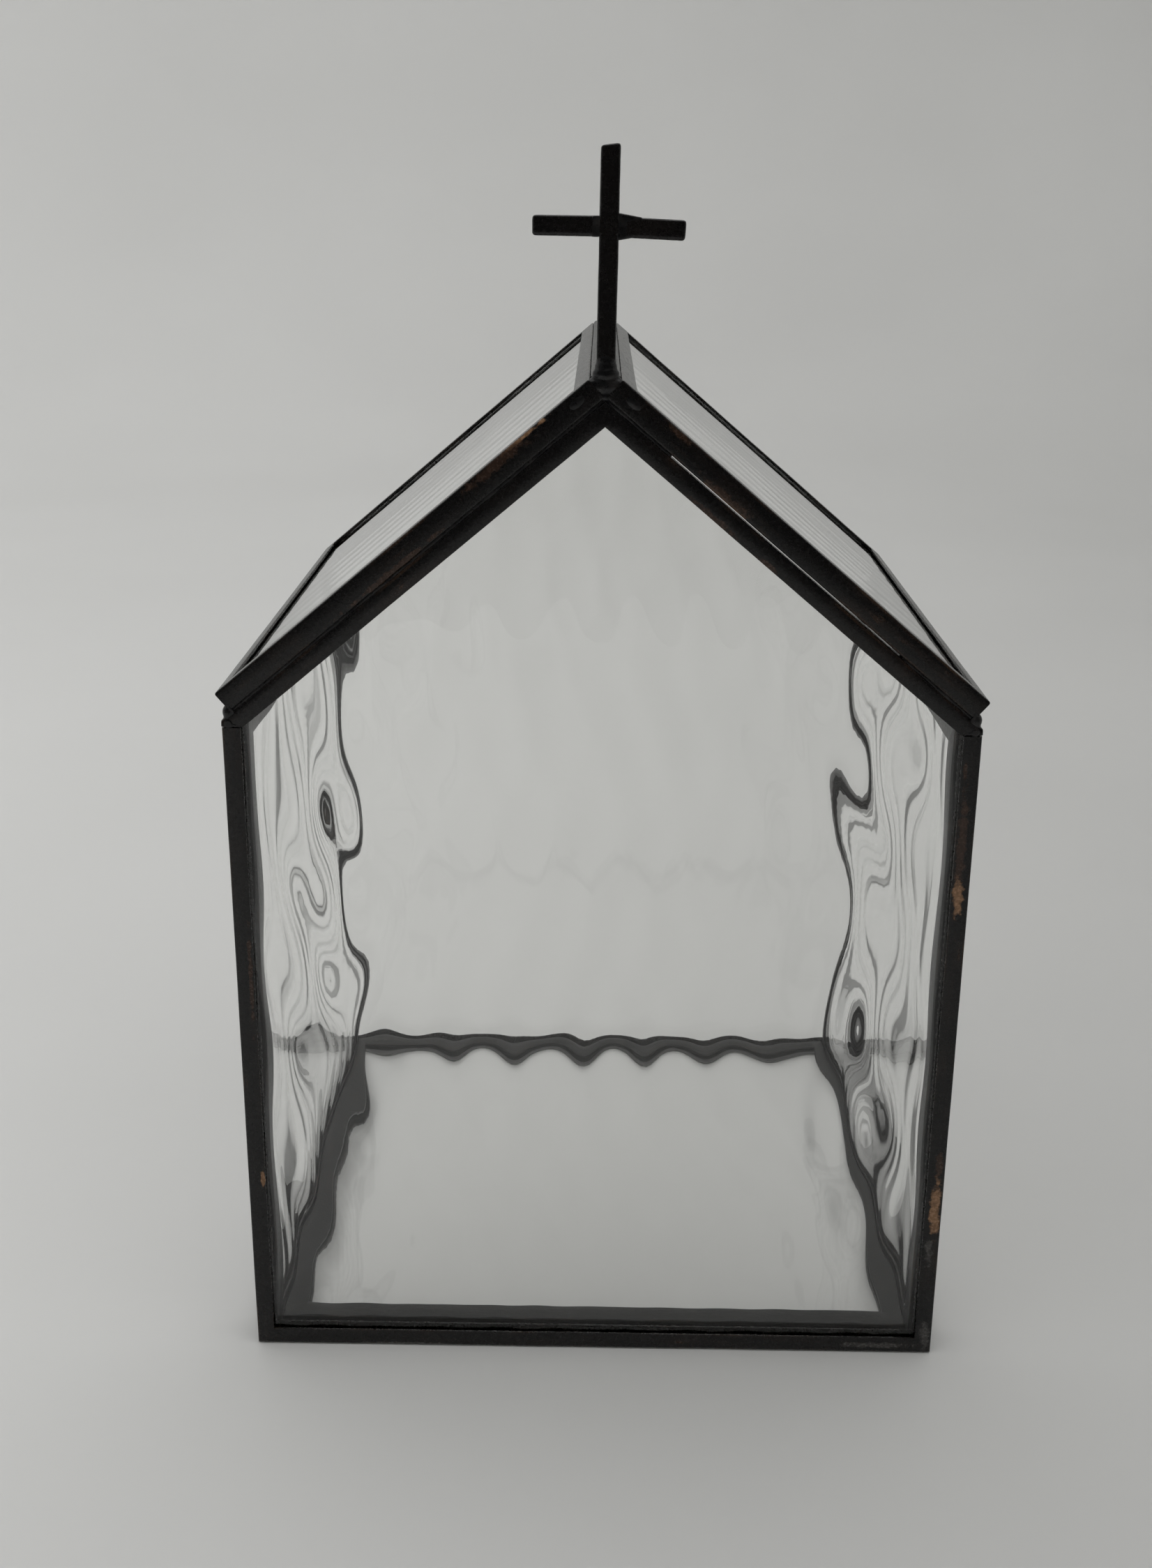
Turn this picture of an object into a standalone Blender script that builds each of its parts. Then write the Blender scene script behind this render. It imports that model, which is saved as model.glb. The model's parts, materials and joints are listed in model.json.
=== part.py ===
"""Glass cloche: a gabled glass cover with a cross, in soldered brass channel, over a framed glass base.

A Blender 4.5 script, in metres with +Z up: blender --background --python part.py
The origin is at table height under the middle of the cover. The front gable carries the cross and faces -Y.
Every pane is edged by lengths of U channel, called cames, and solder joins the cames to each other.
"""

import math

import bmesh
import bpy
from mathutils import Matrix, Vector

# Overall sizes
WIDTH = 0.150  # over the outer faces of the two side walls
DEPTH = 0.1475  # over the outer faces of the two gables
WALL_HEIGHT = 0.1448  # from the table to the corner where a gable's slope begins
ROOF_PITCH = math.radians(40)
EAVE_SETBACK = 0.0018  # from a wall's outer face in to the lower inner edge of the roof above it

# Panes and cames
GLASS = 0.0030
GLASS_PLAY = 0.0003  # between a pane and the came around it
BRASS = 0.0005
GABLE_LIP = 0.0037  # how far a came reaches over its pane
ROOF_LIP = 0.0037
WALL_LIP = 0.0048
BASE_LIP = 0.0048
SEAM = 0.0003  # between neighbouring pieces
BUTT_DROP = 0.0013  # a gable's upright cames stop this far below its corners
BASE_PLAY = 0.0005  # between the base and the cover that lifts off it

# Cross
BAR = 0.0036  # side of the square bar
BAR_CHAMFER = 0.0003
POST_LENGTH = 0.0382
ARM_HEIGHT = 0.0239  # of the arms' middle above the foot of the post
ARM_REACH = 0.0139  # from the middle of the post to an arm's end
CROSS_LEAN = math.radians(0.6)  # towards +X, as the cross was soldered
RIGHT_ARM_DROOP = math.radians(2.4)

# Solder
COLLAR_HEIGHT = 0.0027  # of the solder around the foot of the cross, above the ridge
COLLAR_MARGIN = 0.0003  # how far the collar's top reaches past the post
COLLAR_DEPTH = 0.0046  # along the ridge
RIDGE_CROWN = 0.0004  # how far the ridge solder bulges above the roof panes' upper edges
EAVE_BEAD_UP = 0.0016  # leg of the eave solder along the end of the roof pane
EAVE_BEAD_HOLLOW = 0.0002  # how far the eave solder's outer face sinks in
ARM_JOINT = 0.0005  # length of the solder between the post and an arm
ARM_JOINT_MARGIN = 0.0003  # how far that solder stands proud of the bar
ARC_STEPS = 6

# Sizes that follow from the ones above
THICKNESS = GLASS + 2 * (GLASS_PLAY + BRASS)  # of every framed pane, over its cames
SIN_PITCH = math.sin(ROOF_PITCH)
COS_PITCH = math.cos(ROOF_PITCH)
TAN_PITCH = math.tan(ROOF_PITCH)
GABLE_APEX = WALL_HEIGHT + WIDTH / 2 * TAN_PITCH
EAVE_X = WIDTH / 2 - EAVE_SETBACK
RIDGE_X = SEAM / 2  # where a roof pane's lower face ends at the ridge
ROOF_LENGTH = (EAVE_X - RIDGE_X) / COS_PITCH
FRONT_Y = -DEPTH / 2

COLOURS = {
    "glass": ((0.80, 0.86, 0.83), 0.05, 0.0),
    "patinated_brass": ((0.018, 0.016, 0.015), 0.38, 0.9),
    "patinated_solder": ((0.022, 0.021, 0.022), 0.45, 0.7),
}
GLASS_TRANSMISSION = 0.9


def clear_scene():
    for obj in list(bpy.data.objects):
        bpy.data.objects.remove(obj)


def new_collection(name):
    collection = bpy.data.collections.new(name)
    bpy.context.scene.collection.children.link(collection)


def new_material(name):
    colour, roughness, metallic = COLOURS[name]
    material = bpy.data.materials.new(name)
    material.use_nodes = True
    shader = material.node_tree.nodes["Principled BSDF"]
    shader.inputs["Base Color"].default_value = (*colour, 1)
    shader.inputs["Roughness"].default_value = roughness
    shader.inputs["Metallic"].default_value = metallic
    if name == "glass":
        shader.inputs["Transmission Weight"].default_value = GLASS_TRANSMISSION


def add_part(name, bm, material, placement=None):
    """A named object of a bmesh, placed by a matrix."""
    bmesh.ops.recalc_face_normals(bm, faces=bm.faces)
    mesh = bpy.data.meshes.new(name)
    bm.to_mesh(mesh)
    bm.free()
    mesh.materials.append(bpy.data.materials[material])
    obj = bpy.data.objects.new(name, mesh)
    bpy.data.collections["glass_cloche"].objects.link(obj)
    if placement is not None:
        obj.matrix_world = placement
    return obj


def axes_matrix(origin, x_axis, y_axis, z_axis):
    """The placement whose local axes point along the three given directions."""
    turn = Matrix((x_axis, y_axis, z_axis)).transposed().to_4x4()
    return Matrix.Translation(origin) @ turn


def extruded(outline, length):
    """A bmesh of a closed outline in XY, extruded along +Z from 0 to length."""
    curve = bpy.data.curves.new("outline", "CURVE")
    curve.dimensions = "2D"
    curve.fill_mode = "BOTH"
    curve.extrude = length / 2
    spline = curve.splines.new("POLY")
    spline.points.add(len(outline) - 1)
    for point, (x, y) in zip(spline.points, outline):
        point.co = (x, y, 0, 1)
    spline.use_cyclic_u = True
    guide = bpy.data.objects.new("outline", curve)
    bpy.context.scene.collection.objects.link(guide)
    graph = bpy.context.evaluated_depsgraph_get()
    mesh = bpy.data.meshes.new_from_object(guide.evaluated_get(graph))
    bm = bmesh.new()
    bm.from_mesh(mesh)
    bpy.data.objects.remove(guide)
    bpy.data.curves.remove(curve)
    bpy.data.meshes.remove(mesh)
    bmesh.ops.remove_doubles(bm, verts=bm.verts, dist=1e-6)
    bmesh.ops.translate(bm, verts=bm.verts, vec=(0, 0, length / 2))
    return bm


def cut_off(bm, point, outward):
    """Removes what lies beyond a plane and closes the cut."""
    everything = bm.verts[:] + bm.edges[:] + bm.faces[:]
    cut = bmesh.ops.bisect_plane(bm, geom=everything, plane_co=point, plane_no=outward, clear_outer=True)
    edges = [item for item in cut["geom_cut"] if isinstance(item, bmesh.types.BMEdge)]
    bmesh.ops.edgeloop_fill(bm, edges=edges)


def channel_profile(lip):
    """The U section of a came: x runs from its web in over the pane, y across the pane's thickness."""
    return (
        (0, 0),
        (lip, 0),
        (lip, BRASS),
        (BRASS, BRASS),
        (BRASS, THICKNESS - BRASS),
        (lip, THICKNESS - BRASS),
        (lip, THICKNESS),
        (0, THICKNESS),
    )


def directions(outline):
    """Unit vectors along each side of an outline, from its corner to the next."""
    corners = [Vector(corner) for corner in outline]
    following = corners[1:] + corners[:1]
    return [(end - start).normalized() for start, end in zip(corners, following)]


def mitre_cuts(outline):
    """At each corner, the plane between the two sides: its point, and its normal towards the later side."""
    along = directions(outline)
    return [
        (Vector(corner), (along[i - 1] + along[i]).normalized())
        for i, corner in enumerate(outline)
    ]


def inset(outline, distance):
    """The outline moved in by a distance on every side; its corners run counter-clockwise."""
    along = directions(outline)
    corners = []
    for i, corner in enumerate(outline):
        half_turn = along[i - 1].angle(along[i]) / 2
        inward = (along[i] - along[i - 1]).normalized()
        corners.append(Vector(corner) + inward * distance / math.cos(half_turn))
    return corners


def add_came(name, placement, start, end, lip, cuts):
    """A length of U channel along one side of a pane, cut at each given plane in the pane's own XY."""
    along = (end - start).normalized()
    inward = Vector((-along.y, along.x))
    spare = 2 * lip
    length = (end - start).length + 2 * spare
    bm = extruded(channel_profile(lip), length)
    first = start - along * spare
    to_pane = axes_matrix(first.to_3d(), inward.to_3d(), Vector((0, 0, 1)), along.to_3d())
    bmesh.ops.transform(bm, matrix=to_pane, verts=bm.verts)
    for point, outward in cuts:
        cut_off(bm, point.to_3d(), outward.to_3d())
    add_part(name, bm, "patinated_brass", placement)


def add_framed_pane(name, outline, sides, placement, lip, corner_cuts=None, trims=None):
    """A pane and one came along each side of its outline.

    The outline runs counter-clockwise in the placement's XY, and the cames fill 0 to THICKNESS along its Z.
    corner_cuts gives the plane between two cames at each corner; trims gives more planes for a named side.
    """
    glass = extruded(inset(outline, BRASS + GLASS_PLAY), GLASS)
    bmesh.ops.translate(glass, verts=glass.verts, vec=(0, 0, BRASS + GLASS_PLAY))
    add_part(f"{name}_glass", glass, "glass", placement)
    corner_cuts = corner_cuts or mitre_cuts(outline)
    for i, side in enumerate(sides):
        after = (i + 1) % len(sides)
        near, near_normal = corner_cuts[i]
        far, far_normal = corner_cuts[after]
        cuts = [
            (near + near_normal * SEAM / 2, -near_normal),
            (far - far_normal * SEAM / 2, far_normal),
        ]
        cuts += (trims or {}).get(side, [])
        add_came(f"{name}_{side}_came", placement, Vector(outline[i]), Vector(outline[after]), lip, cuts)


def rectangle(x_low, x_high, y_low, y_high):
    return ((x_low, y_low), (x_high, y_low), (x_high, y_high), (x_low, y_high))


def add_gable(name, placement, first_hand, second_hand):
    """An end of the cover: a house-shaped pane. first_hand names the side at +X of the placement."""
    half = WIDTH / 2
    outline = ((-half, 0), (half, 0), (half, WALL_HEIGHT), (0, GABLE_APEX), (-half, WALL_HEIGHT))
    sides = ("bottom", first_hand, f"{first_hand}_slope", f"{second_hand}_slope", second_hand)
    cuts = mitre_cuts(outline)
    butt_height = WALL_HEIGHT - BUTT_DROP
    cuts[2] = (Vector((half, butt_height)), Vector((0, 1)))
    cuts[4] = (Vector((-half, butt_height)), Vector((0, -1)))
    trims = {
        f"{first_hand}_slope": [(Vector((half, 0)), Vector((1, 0)))],
        f"{second_hand}_slope": [(Vector((-half, 0)), Vector((-1, 0)))],
    }
    add_framed_pane(name, outline, sides, placement, GABLE_LIP, cuts, trims)


def add_gables():
    up = Vector((0, 0, 1))
    front = axes_matrix(Vector((0, FRONT_Y + THICKNESS, 0)), Vector((1, 0, 0)), up, Vector((0, -1, 0)))
    back = axes_matrix(Vector((0, -FRONT_Y - THICKNESS, 0)), Vector((-1, 0, 0)), up, Vector((0, 1, 0)))
    add_gable("front", front, "right", "left")
    add_gable("back", back, "left", "right")


def add_walls():
    """The two side walls, which stand between the gables."""
    half = DEPTH / 2 - THICKNESS - SEAM
    outline = rectangle(-half, half, 0, WALL_HEIGHT)
    inner_face = WIDTH / 2 - THICKNESS
    for name, hand, sides in (
        ("right_wall", 1, ("bottom", "back", "top", "front")),
        ("left_wall", -1, ("bottom", "front", "top", "back")),
    ):
        placement = axes_matrix(
            Vector((hand * inner_face, 0, 0)),
            Vector((0, hand, 0)),
            Vector((0, 0, 1)),
            Vector((hand, 0, 0)),
        )
        add_framed_pane(name, outline, sides, placement, WALL_LIP)


def roof_underside(x):
    """Height of a roof pane's lower face, which clears the gable's slope by a seam."""
    return GABLE_APEX + SEAM / COS_PITCH - x * TAN_PITCH


def add_roof():
    """The two roof panes, which lie over the gables and the walls from end to end."""
    outline = rectangle(-DEPTH / 2, DEPTH / 2, 0, ROOF_LENGTH)
    for name, hand, sides in (
        ("right_roof", 1, ("eave", "back", "ridge", "front")),
        ("left_roof", -1, ("eave", "front", "ridge", "back")),
    ):
        placement = axes_matrix(
            Vector((hand * EAVE_X, 0, roof_underside(EAVE_X))),
            Vector((0, hand, 0)),
            Vector((-hand * COS_PITCH, 0, SIN_PITCH)),
            Vector((hand * SIN_PITCH, 0, COS_PITCH)),
        )
        add_framed_pane(name, outline, sides, placement, ROOF_LIP)


def add_base():
    """The framed glass base that the cover stands around."""
    half_width = WIDTH / 2 - THICKNESS - BASE_PLAY
    half_depth = DEPTH / 2 - THICKNESS - BASE_PLAY
    outline = rectangle(-half_width, half_width, -half_depth, half_depth)
    add_framed_pane("base", outline, ("front", "right", "back", "left"), Matrix.Identity(4), BASE_LIP)


def arc_between(start, end, bulge):
    """Points strictly between start and end on a parabola that leaves their line by bulge, to its right."""
    start = Vector(start)
    end = Vector(end)
    along = (end - start).normalized()
    aside = Vector((along.y, -along.x))
    points = []
    for step in range(1, ARC_STEPS):
        share = step / ARC_STEPS
        points.append(start.lerp(end, share) + aside * bulge * 4 * share * (1 - share))
    return points


def lengthwise(y):
    """Placement of an outline drawn in XZ and extruded towards +Y from the given y."""
    return axes_matrix(Vector((0, y, 0)), Vector((-1, 0, 0)), Vector((0, 0, 1)), Vector((0, 1, 0)))


def ridge_groove():
    """The groove between the roof panes: height of its bottom, half width of its top, height of its top."""
    inner_corner = roof_underside(RIDGE_X)
    bottom = inner_corner + (SEAM / COS_PITCH - RIDGE_X) / TAN_PITCH
    top = inner_corner + THICKNESS * COS_PITCH
    return bottom, (top - bottom) * TAN_PITCH, top


def add_ridge_solder():
    """Solder that fills the groove between the roof panes, behind the collar."""
    bottom, half_width, top = ridge_groove()
    right = (half_width, top)
    left = (-half_width, top)
    outline = [(0, bottom), right, *arc_between(right, left, RIDGE_CROWN), left]
    start = FRONT_Y + COLLAR_DEPTH + SEAM
    add_part("ridge_solder", extruded(outline, DEPTH / 2 - start), "patinated_solder", lengthwise(start))


def add_collar():
    """Solder at the front of the ridge, drawn up around the foot of the cross."""
    bottom, half_width, top = ridge_groove()
    neck = BAR / 2 + COLLAR_MARGIN
    sag = -(half_width - neck) / 2
    neck_height = top + COLLAR_HEIGHT
    right_flank = arc_between((half_width, top), (neck, neck_height), sag)
    left_flank = [(-x, z) for x, z in reversed(right_flank)]
    outline = [
        (0, bottom),
        (half_width, top),
        *right_flank,
        (neck, neck_height),
        (-neck, neck_height),
        *left_flank,
        (-half_width, top),
    ]
    add_part("cross_collar_solder", extruded(outline, COLLAR_DEPTH), "patinated_solder", lengthwise(FRONT_Y))


def add_eave_solder():
    """A bead along each eave, in the notch between the roof pane's end and the corner of the wall."""
    outward = Vector((COS_PITCH, -SIN_PITCH))
    root = Vector((EAVE_X, roof_underside(EAVE_X))) + outward * SEAM
    upper = root + Vector((SIN_PITCH, COS_PITCH)) * EAVE_BEAD_UP
    down_to_wall = root.y - (WALL_HEIGHT + SEAM)
    lower = root + outward * down_to_wall / SIN_PITCH
    right_outline = [root, lower, *arc_between(lower, upper, -EAVE_BEAD_HOLLOW), upper]
    for name, hand in (("right_eave_solder", -1), ("left_eave_solder", 1)):
        outline = [(hand * x, z) for x, z in right_outline]
        add_part(name, extruded(outline, DEPTH), "patinated_solder", lengthwise(FRONT_Y))


def add_empty(name, parent, location):
    empty = bpy.data.objects.new(name, None)
    bpy.data.collections["glass_cloche"].objects.link(empty)
    empty.parent = parent
    empty.location = location
    return empty


def chamfered_bar(name, size, centre, material, parent, chamfer):
    """A box with chamfered edges, placed under a parent."""
    bm = bmesh.new()
    bmesh.ops.create_cube(bm, size=1)
    bmesh.ops.scale(bm, vec=size, verts=bm.verts)
    obj = add_part(name, bm, material)
    obj.parent = parent
    obj.location = centre
    bevel = obj.modifiers.new("chamfer", "BEVEL")
    bevel.width = chamfer
    bevel.segments = 1
    return obj


def add_cross():
    """A square post with an arm soldered to each side; all lean together about the foot of the post."""
    foot_height = ridge_groove()[2] + COLLAR_HEIGHT + SEAM
    foot = add_empty("cross_foot", None, (0, FRONT_Y + THICKNESS / 2, foot_height))
    foot.rotation_euler = (0, CROSS_LEAN, 0)

    post_size = (BAR, BAR, POST_LENGTH)
    post_centre = (0, 0, POST_LENGTH / 2)
    chamfered_bar("cross_post", post_size, post_centre, "patinated_brass", foot, BAR_CHAMFER)

    joint_start = BAR / 2 + SEAM
    arm_start = joint_start + ARM_JOINT + SEAM
    arm_length = ARM_REACH - arm_start
    joint_side = BAR + 2 * ARM_JOINT_MARGIN
    for name, hand, droop in (("cross_right", 1, RIGHT_ARM_DROOP), ("cross_left", -1, 0)):
        shoulder = add_empty(f"{name}_shoulder", foot, (hand * joint_start, 0, ARM_HEIGHT))
        joint_size = (ARM_JOINT, joint_side, joint_side)
        joint_centre = (hand * ARM_JOINT / 2, 0, 0)
        chamfer = ARM_JOINT / 4
        chamfered_bar(f"{name}_solder", joint_size, joint_centre, "patinated_solder", shoulder, chamfer)
        elbow = add_empty(f"{name}_elbow", shoulder, (hand * (arm_start - joint_start), 0, 0))
        elbow.rotation_euler = (0, hand * droop, 0)
        arm_size = (arm_length, BAR, BAR)
        arm_centre = (hand * arm_length / 2, 0, 0)
        chamfered_bar(f"{name}_arm", arm_size, arm_centre, "patinated_brass", elbow, BAR_CHAMFER)


def main():
    clear_scene()
    new_collection("glass_cloche")
    for name in COLOURS:
        new_material(name)
    add_gables()
    add_walls()
    add_roof()
    add_base()
    add_ridge_solder()
    add_collar()
    add_eave_solder()
    add_cross()


main()
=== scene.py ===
"""Looks of the glass cloche: wavy drawn glass in worn, black-patinated brass channel, on a pale floor."""

import json
import math

import bmesh
import bpy
import numpy as np
from mathutils import Euler, Matrix, Vector, noise

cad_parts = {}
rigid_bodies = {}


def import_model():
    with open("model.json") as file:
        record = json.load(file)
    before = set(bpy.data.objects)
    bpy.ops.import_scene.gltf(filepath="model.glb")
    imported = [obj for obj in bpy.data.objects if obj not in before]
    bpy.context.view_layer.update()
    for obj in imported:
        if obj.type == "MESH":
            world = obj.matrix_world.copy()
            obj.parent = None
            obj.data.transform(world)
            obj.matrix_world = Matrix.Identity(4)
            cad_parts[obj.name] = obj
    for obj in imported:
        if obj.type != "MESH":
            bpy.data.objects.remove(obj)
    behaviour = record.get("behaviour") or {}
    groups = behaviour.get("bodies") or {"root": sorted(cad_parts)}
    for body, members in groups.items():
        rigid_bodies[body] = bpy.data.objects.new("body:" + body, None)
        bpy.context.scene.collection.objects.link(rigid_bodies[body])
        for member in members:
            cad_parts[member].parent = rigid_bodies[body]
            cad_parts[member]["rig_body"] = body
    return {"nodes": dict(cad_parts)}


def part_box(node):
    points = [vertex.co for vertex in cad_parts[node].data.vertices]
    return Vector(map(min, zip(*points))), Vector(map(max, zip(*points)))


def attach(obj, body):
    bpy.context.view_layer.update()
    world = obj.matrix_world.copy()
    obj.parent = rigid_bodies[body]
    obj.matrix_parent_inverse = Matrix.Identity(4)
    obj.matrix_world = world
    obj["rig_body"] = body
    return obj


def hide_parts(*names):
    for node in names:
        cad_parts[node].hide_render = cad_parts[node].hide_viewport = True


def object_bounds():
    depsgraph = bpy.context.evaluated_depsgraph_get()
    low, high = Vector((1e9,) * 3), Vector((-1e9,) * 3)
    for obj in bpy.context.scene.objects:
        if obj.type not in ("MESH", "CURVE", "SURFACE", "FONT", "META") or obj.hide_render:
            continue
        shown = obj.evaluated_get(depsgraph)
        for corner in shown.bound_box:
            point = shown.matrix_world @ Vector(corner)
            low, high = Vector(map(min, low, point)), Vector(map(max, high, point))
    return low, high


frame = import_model()
cad_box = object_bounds()

# Camera
CAMERA_PLACE = (-0.0009, -0.4069, 0.2449)
CAMERA_LENS = 40.56
CAMERA_PITCH = math.radians(18.63)  # downwards
CAMERA_YAW = math.radians(0.685)  # to the left
CAMERA_ROLL = math.radians(0.466)  # clockwise, so the object leans to the left
CAMERA_SENSOR = 36
CAMERA_NEAR = 0.01

# Studio: a round sweep of pale paper, open to an even sky
FLOOR_DROP = 0.0002
SWEEP_FLAT = 1.1
SWEEP_CURVE = 0.8
SWEEP_WALL = 1.2
SWEEP_STEPS = 24
SWEEP_SIDES = 96
PAPER_REACH = 0.45  # the paper's painted shade changes with the direction from this far in front of the middle
ROOM_SIZE = (2.4, 1.2)
ROOM_PLACE = (0, -0.40, 0.60)
ROOM_LEAN = 0.35
SKY_COLOUR = (1.0, 1.0, 0.995, 1)
SKY_STRENGTH = 1.23
LIGHT_BOUNCES = 32
SOFT_BOUNCES = 6

# Glass
WAVE_COUNT = 14
WAVE_ACROSS = 0.013
SPREAD_ACROSS = 0.13  # how unlike the waves of one face are, as shares of their pitch and of their length
SPREAD_ALONG = 0.3
WAVES = {  # depth of the waves on each pane, their length along the drawing direction, and a seed
    "front_glass": (0.00019, 0.046, 1),
    "back_glass": (0.00020, 0.050, 2),
    "left_wall_glass": (0.00013, 0.090, 3),
    "right_wall_glass": (0.00013, 0.090, 4),
    "left_roof_glass": (0.000007, 0.110, 5),
    "right_roof_glass": (0.000007, 0.110, 6),
    "base_glass": (0.00010, 0.040, 7),
}
DIMMING_PANE = "front_glass"  # the one pane that holds back soft light: with all, the inside is too dark
CELL_ACROSS = 0.0011
CELL_ALONG = 0.0018
GLASS_EDGE = math.radians(40)  # sharper edges than this stay sharp in the shading
INSIDE = Vector((0, 0, 0.1))  # a point inside the cover, which tells outwards from inwards

# Brass
GABLE_UPRIGHTS = ("front_left_came", "front_right_came", "back_left_came", "back_right_came")
CROSS_BARS = ("cross_post", "cross_left_arm", "cross_right_arm")
EDGE_ROUND = 0.00013
FOLD_ROUND = 0.0004  # where the sheet was folded into a channel
SLOPE_FOLD_ROUND = 0.0006  # the gables' slopes, below the seams that show
ROOF_FOLD_ROUND = 0.0005
METAL_EDGE = math.radians(38)
SLICE = 0.0025  # between the cuts that let a channel be uneven
WOBBLE = 0.00005
WOBBLE_WAVES = 70  # to the metre
RIPPLE_WAVES = 350
RIPPLE_SHARE = 0.4
SEAM_OVERLAP = 0.00017  # how far a channel runs into the solder at its mitred ends
ARM_END = 0.001  # points this near an arm's inner end belong to it
ARM_ROOT = 0.0025  # how far an arm runs through its solder into the post
TOP_SLANT = 0.0005  # how much lower the post's top is on its left
SLANT_REACH = 0.002

# Solder: sizes of beads and drops are radii
RIDGE_SWELL = 0.00032  # the solder fills the seams around it
EAVE_SWELL = 0.00005
EAVE_TAPER = 0.006  # length of an eave bead's end that is drawn in, and how far
EAVE_SINK = 0.0012
JOINT_SPREAD = (4.0, 0.88, 0.88)  # how much the solder between post and arm is drawn out
WEDGE_REACH = 0.0026  # how far the right arm's runs out further, and its size at the post and at its end
WEDGE_RISE = 1.27
WEDGE_END = 0.93
CORNER_BEAD = 0.00075
CORNER_BEAD_PROUD = 0.00035
SEAM_BEAD = 0.0005
SEAM_RECESS = 0.0003
SEAM_GAP = 0.0003
BEAD_STEP = 0.0008
BEAD_SIDES = 14
BEAD_LUMP = 0.35
LUMP_WAVES = 260
BEAD_TIP = 0.5
BEAD_GROWTH = 0.2  # share of its radius that a bead gains with each step from its end
OPEN_SEAM = (0.016, 0.076)  # stretch of the front's right slope seam that lets light through, from its top
DROP_IN = 0.0014  # middles of the drops at the eaves, from the uprights' outer and front faces
DROP_BEHIND = 0.0013
FOOT_DEPTH = 0.0021  # of the solder at the foot of the cross
FOOT_BEHIND = 0.0020
FOOT_DOWN = 0.0042  # where it lies on each slope: down from the apex and out from the seam
FOOT_OUT = 0.0028
MELT_CELL = 0.00022  # of the remesh, and how often solder and bars are smoothed after it
MELT_SWEEPS = 5
BAR_SWEEPS = 14
PROUD_LIMIT = 0.00015  # how far flowed solder may stand in front of the frame

# Colours of the patina and what shows where it is thin or gone
BLACK = (0.0042, 0.0038, 0.0038, 1)
THIN_BROWN = (0.020, 0.0125, 0.0090, 1)
DUSTY = (0.060, 0.055, 0.050, 1)
RUBBED = (0.16, 0.085, 0.045, 1)
BRONZE = (0.23, 0.128, 0.068, 1)
BROWN = (0.036, 0.019, 0.012, 1)
GREY = (0.052, 0.049, 0.046, 1)
SOLDER_BLACK = (0.0045, 0.0045, 0.0050, 1)
SOLDER_GREY = (0.018, 0.016, 0.015, 1)
# painted shade on the paper: its colour on the lit left and where the light has fallen off on the right
PAPER_LIT_TINT = (0.735, 0.735, 0.725, 1)
PAPER_SHADED_TINT = (0.485, 0.485, 0.475, 1)

# Places on the front where the patina has worn off: node, share of its length from the bottom, shift
# outwards, half length and half width of the spot, and its colour
SPOT_DEPTH = 0.002
WORN_SPOTS = (
    ("front_right_came", 0.255, 0.0003, 0.0066, 0.0010, BRONZE),
    ("front_right_came", 0.330, 0.0004, 0.0030, 0.0007, BROWN),
    ("front_right_came", 0.820, -0.0006, 0.0120, 0.0009, BROWN),
    ("front_right_came", 0.765, -0.0004, 0.0040, 0.0009, BRONZE),
    ("front_right_came", 0.950, -0.0010, 0.0020, 0.0004, BROWN),
    ("front_right_came", 0.180, -0.0004, 0.0035, 0.0008, GREY),
    ("front_right_came", 0.030, 0.0002, 0.0030, 0.0010, GREY),
    ("front_left_came", 0.290, -0.0014, 0.0022, 0.0004, BRONZE),
    ("front_left_came", 0.620, -0.0012, 0.0100, 0.0004, BROWN),
    ("front_bottom_came", 0.920, 0.0, 0.0070, 0.0006, GREY),
    ("front_bottom_came", 0.220, 0.0014, 0.0090, 0.0003, GREY),
    ("front_right_slope_came", 0.700, -0.0016, 0.0050, 0.0007, BROWN),
    ("front_right_slope_came", 0.560, -0.0017, 0.0028, 0.0006, BROWN),
    ("right_roof_front_came", 0.690, -0.0022, 0.0045, 0.0004, BRONZE),
    ("right_roof_front_came", 0.690, -0.0016, 0.0055, 0.0008, BROWN),
    ("right_roof_front_came", 0.850, 0.0016, 0.0022, 0.0005, BROWN),
    ("left_roof_front_came", 0.830, 0.0019, 0.0050, 0.0004, BRONZE),
    ("left_roof_front_came", 0.760, 0.0013, 0.0080, 0.0010, BROWN),
    ("left_roof_front_came", 0.450, -0.0016, 0.0120, 0.0005, BROWN),
)


# ---------------------------------------------------------------- shader nodes

def add_node(tree, kind, inputs=None, **settings):
    """A shader node. An input given as a socket is linked; anything else becomes the input's value."""
    made = tree.nodes.new(f"ShaderNode{kind}")
    for name, value in settings.items():
        setattr(made, name, value)
    for key, value in (inputs or {}).items():
        if isinstance(value, bpy.types.NodeSocket):
            tree.links.new(value, made.inputs[key])
        else:
            made.inputs[key].default_value = value
    return made


def new_material(name, slot=""):
    """A node material for a slot of the record, with its tree and its Principled shader."""
    material = bpy.data.materials.new(name)
    material["slot"] = slot
    material.use_nodes = True
    return material, material.node_tree, material.node_tree.nodes["Principled BSDF"]


def noise_value(tree, vector, scale, detail=2.0, roughness=0.5):
    """Smooth noise from 0 to 1, with about scale waves to each unit of the vector."""
    inputs = {"Vector": vector, "Scale": scale, "Detail": detail, "Roughness": roughness}
    return add_node(tree, "TexNoise", inputs).outputs["Fac"]


def ramp(tree, value, low, high, start=0.0, end=1.0):
    """The value stretched so that low gives start and high gives end, and held beyond them."""
    inputs = {"Value": value, "From Min": low, "From Max": high, "To Min": start, "To Max": end}
    return add_node(tree, "MapRange", inputs).outputs["Result"]


def maths(tree, operation, first, second):
    return add_node(tree, "Math", {0: first, 1: second}, operation=operation).outputs[0]


def blend_colour(tree, factor, first, second):
    made = add_node(tree, "Mix", {0: factor, 6: first, 7: second}, data_type="RGBA")
    return made.outputs[2]


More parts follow.
